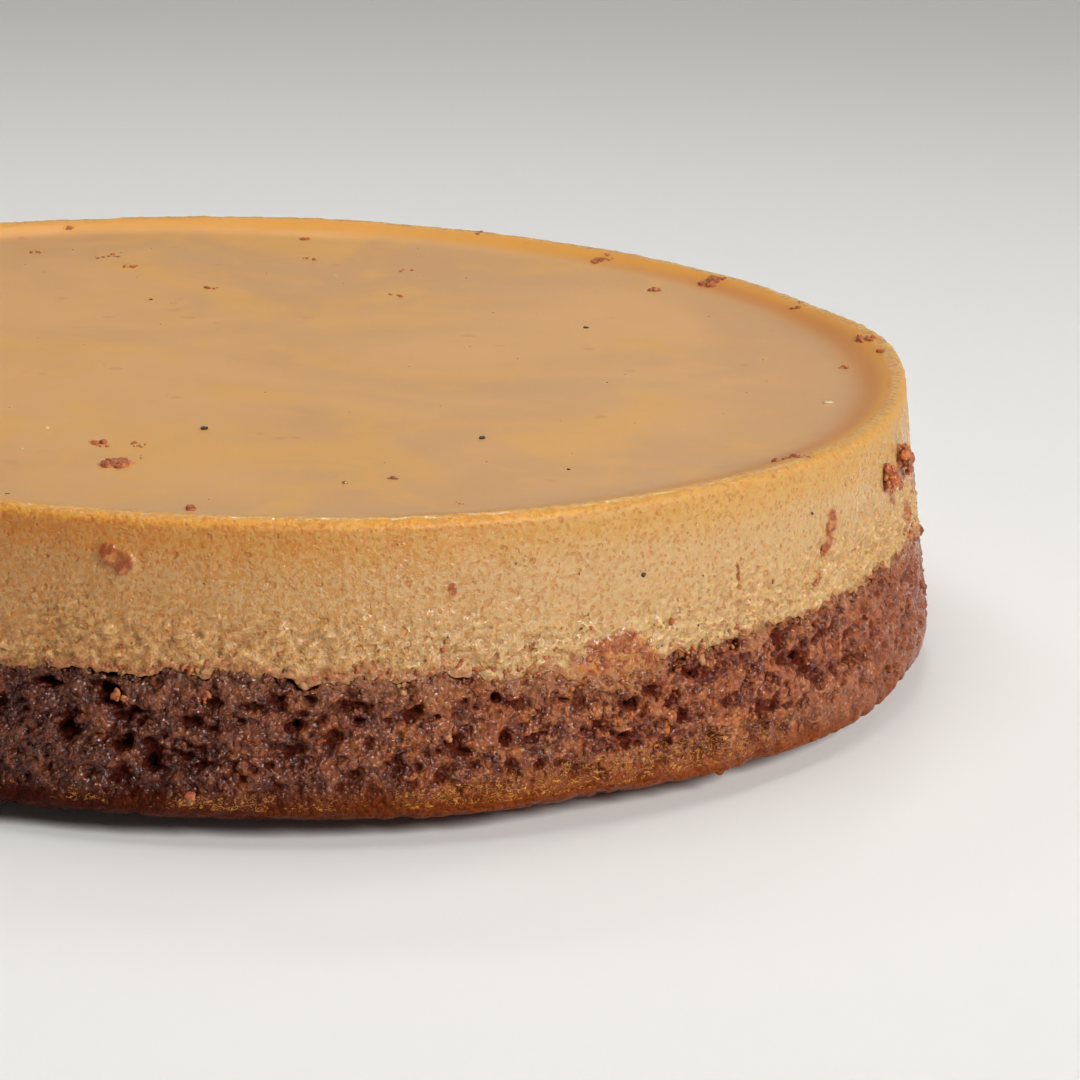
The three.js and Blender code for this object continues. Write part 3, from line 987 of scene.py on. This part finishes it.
specks = {
    # the larger specks on top: x, y and size in mm
    "large": [(-8.5, -51.5, 0.6), (35.1, -53.2, 0.5), (47.4, -71.1, 0.35), (-36.4, -92.4, 0.3),
              (-66, -30, 0.4), (-20, 41, 0.45), (58, 27, 0.4)],
    # the small ones: how many, smallest and largest size in mm, and where
    "onTop": (60, 0.07, 0.16),
    "topReach": 98 * mm,
    # specks in the wall: degrees, height and size in mm
    "wall": [(30.7, 36.1, 0.32), (50.2, 39.2, 0.26), (35.8, 27.2, 0.2), (100, 35, 0.3),
             (187, 33, 0.3), (251, 36.5, 0.28)],
    "onWall": (70, 0.08, 0.17),
    "wallHeights": (27, 44),
    "seed": (0.022, 0.013, 0.009),
    "seedLight": (0.055, 0.0325, 0.0225),
    # pale flecks of dried froth on top: x, y and size in mm
    "pale": [(94.3, -24.5, 0.75), (91, -20, 0.3), (-33, -53, 0.4), (-3.4, -64, 0.3),
             (8.2, -60, 0.3), (-36, -66, 0.25), (62, -8, 0.25), (-60, 20, 0.4),
             (14, 66, 0.35), (-15, -30, 0.25)],
    "fleck": (0.78, 0.6, 0.42),
}


def lieOnTop(reach, angle, out):
    return placeAt(reach, dishHeight(crestRadius() - reach, angle) + out, angle)


def makeSpecks():
    draw = np.random.default_rng(501)
    top = np.array(specks["large"]) * mm
    wall = np.array(specks["wall"])
    count, *span = specks["onTop"]
    smallReach = specks["topReach"] * np.sqrt(draw.random(count))
    smallAngle = draw.uniform(-math.pi, math.pi, count)
    largeReach, largeAngle = polar(top[:, 0], top[:, 1])
    size = np.concatenate([top[:, 2], draw.uniform(*span, count) * mm])
    place = lieOnTop(np.append(largeReach, smallReach), np.append(largeAngle, smallAngle), 0.1 * size)
    count, *span = specks["onWall"]
    angle = np.append(np.radians(wall[:, 0]), draw.uniform(-math.pi, math.pi, count))
    height = np.append(wall[:, 1], draw.uniform(*specks["wallHeights"], count))
    wallSize = np.append(wall[:, 2], draw.uniform(*span, count)) * mm
    wallPlace, outward = wallSpots(angle, height * mm, 0.1 * mm)
    turns = turnsFacing(draw, np.concatenate([facingUp(len(place)), outward]))
    finish = speckFinish("vanilla seed", None, specks["seed"], specks["seedLight"], 0.3, 0.3)
    addLumps("vanilla_specks", finish, "vanilla_speck", np.concatenate([place, wallPlace]),
             np.append(size, wallSize), 502, 2, 0.5, turns, 0.5)

    # the pale flecks, pressed flat
    flecks = np.array(specks["pale"]) * mm
    place = lieOnTop(*polar(flecks[:, 0], flecks[:, 1]), 0)
    turns = turnsFacing(draw, facingUp(len(flecks)))
    finish = speckFinish("dried froth", (0.4, glow["custard"], 0.8), specks["fleck"], flan["pale"],
                         0.5, 0.2)
    addLumps("pale_flecks", finish, "caramel_glaze", place, flecks[:, 2], 503, 2, 0.6, turns, 0.3)


def speckFinish(name, light, first, second, size, rougher):
    finish = Finish(name, light, Specular_IOR_Level=0.4)
    grain = finish.noise(size)
    finish.shade(Base_Color=finish.blend(first, second, grain), Roughness=0.35 + rougher * grain,
                 Normal=finish.bump(grain, 0.1, 0.5))
    return finish


studio = {
    "floor": (0.86, 0.85, 0.825),
    "floorDark": (0.8471, 0.83725, 0.812625),
    # the tones of the sky, and how far up each of them stands
    "sky": [(0.12, (0.42, 0.416, 0.405)), (0.45, (0.074, 0.073, 0.07))],
    "keyPlace": (44, 32, 2.6),         # degrees round from the front, degrees up, distance
    "backPlaces": [(-1.0, 1.5, 1.7), (0.2, 1.7, 1.7), (1.4, 1.2, 1.7)],
    # for these lights the point that they face, their size and power
    "key": ((0, 0, 0.03), 1.0, 62),
    "back": ((0, 0, 0.04), 0.35, 0.115),
    # and for these their place too, which comes first
    "overhead": ((-0.08, 0.03, 0.8), (0, 0.05, 0), 0.6, 2.1),
    "far": ((0.3, 1.3, 0.8), (0.25, 1.1, 0), 0.5, 0.52),
    "backSpread": 32,                  # degrees; keeps these lights off the floor behind the cake
}


def makeStudio():
    mesh = bpy.data.meshes.new("floor")
    reach = 8.0
    corners = [(-reach, -reach, 0), (reach, -reach, 0), (reach, reach, 0), (-reach, reach, 0)]
    mesh.from_pydata(corners, [], [(0, 1, 2, 3)])
    floor = addPiece("floor", mesh)
    finish = Finish("pale floor", Roughness=0.8)
    shade = finish.noise(400)
    finish.shade(Base_Color=finish.blend(studio["floor"], studio["floorDark"], shade))
    floor.data.materials.append(finish.material)
    world = bpy.data.worlds.new("studio")
    world.use_nodes = True
    sky = Nodes(world.node_tree)
    direction = sky.node("ShaderNodeTexCoord", output="Generated")
    upwards = sky.node("ShaderNodeSeparateXYZ", None, {0: direction}, "Z")
    tone = sky.node("ShaderNodeValToRGB", {"stops": studio["sky"]}, {0: upwards})
    sky.plug(sky.tree.nodes["Background"].inputs[0], tone)
    bpy.context.scene.world = world
    turn, rise, away = studio["keyPlace"]
    rise = math.radians(rise)
    key = placeAt(away * math.cos(rise), away * math.sin(rise), math.radians(turn))
    addLight("soft key", key, *studio["key"])
    addLight("overhead", *studio["overhead"])
    addLight("far floor", *studio["far"])
    for place in studio["backPlaces"]:
        back = addLight("back", place, *studio["back"])
        back.spread = math.radians(studio["backSpread"])
    bpy.context.scene.view_settings.view_transform = "Standard"


def addLight(name, place, aim, size, power):
    data = bpy.data.lights.new(name, "AREA")
    data.shape = "DISK"
    data.size = size
    data.energy = power
    light = addObject(name, data)
    light.location = place
    towards = Vector(aim) - Vector(place)
    light.rotation_euler = towards.to_track_quat("-Z", "Y").to_euler()
    return data


view = {
    "lens": 122.25,
    "place": (0, -612 * mm, 190.4 * mm),
    "yaw": 4.60,
    "pitch": 16.08,
    "roll": 2.47,
}


def makeCamera():
    data = bpy.data.cameras.new("camera")
    data.lens = view["lens"]
    data.sensor_width = 36
    camera = addObject("camera", data)
    turn = (Matrix.Rotation(math.radians(-view["yaw"]), 4, "Z")
            @ Matrix.Rotation(math.radians(90 - view["pitch"]), 4, "X")
            @ Matrix.Rotation(math.radians(view["roll"]), 4, "Z"))
    camera.matrix_world = Matrix.Translation(view["place"]) @ turn
    bpy.context.scene.camera = camera


makeCamera()
makeStudio()
print("studio made")
looseFinish = makeSponge()
print("sponge made")
makeFlan()
print("flan made")
makeSyrup()
print("syrup made")
makeCrumbs(looseFinish)
print("crumbs made")
makeSpecks()
print("specks made")
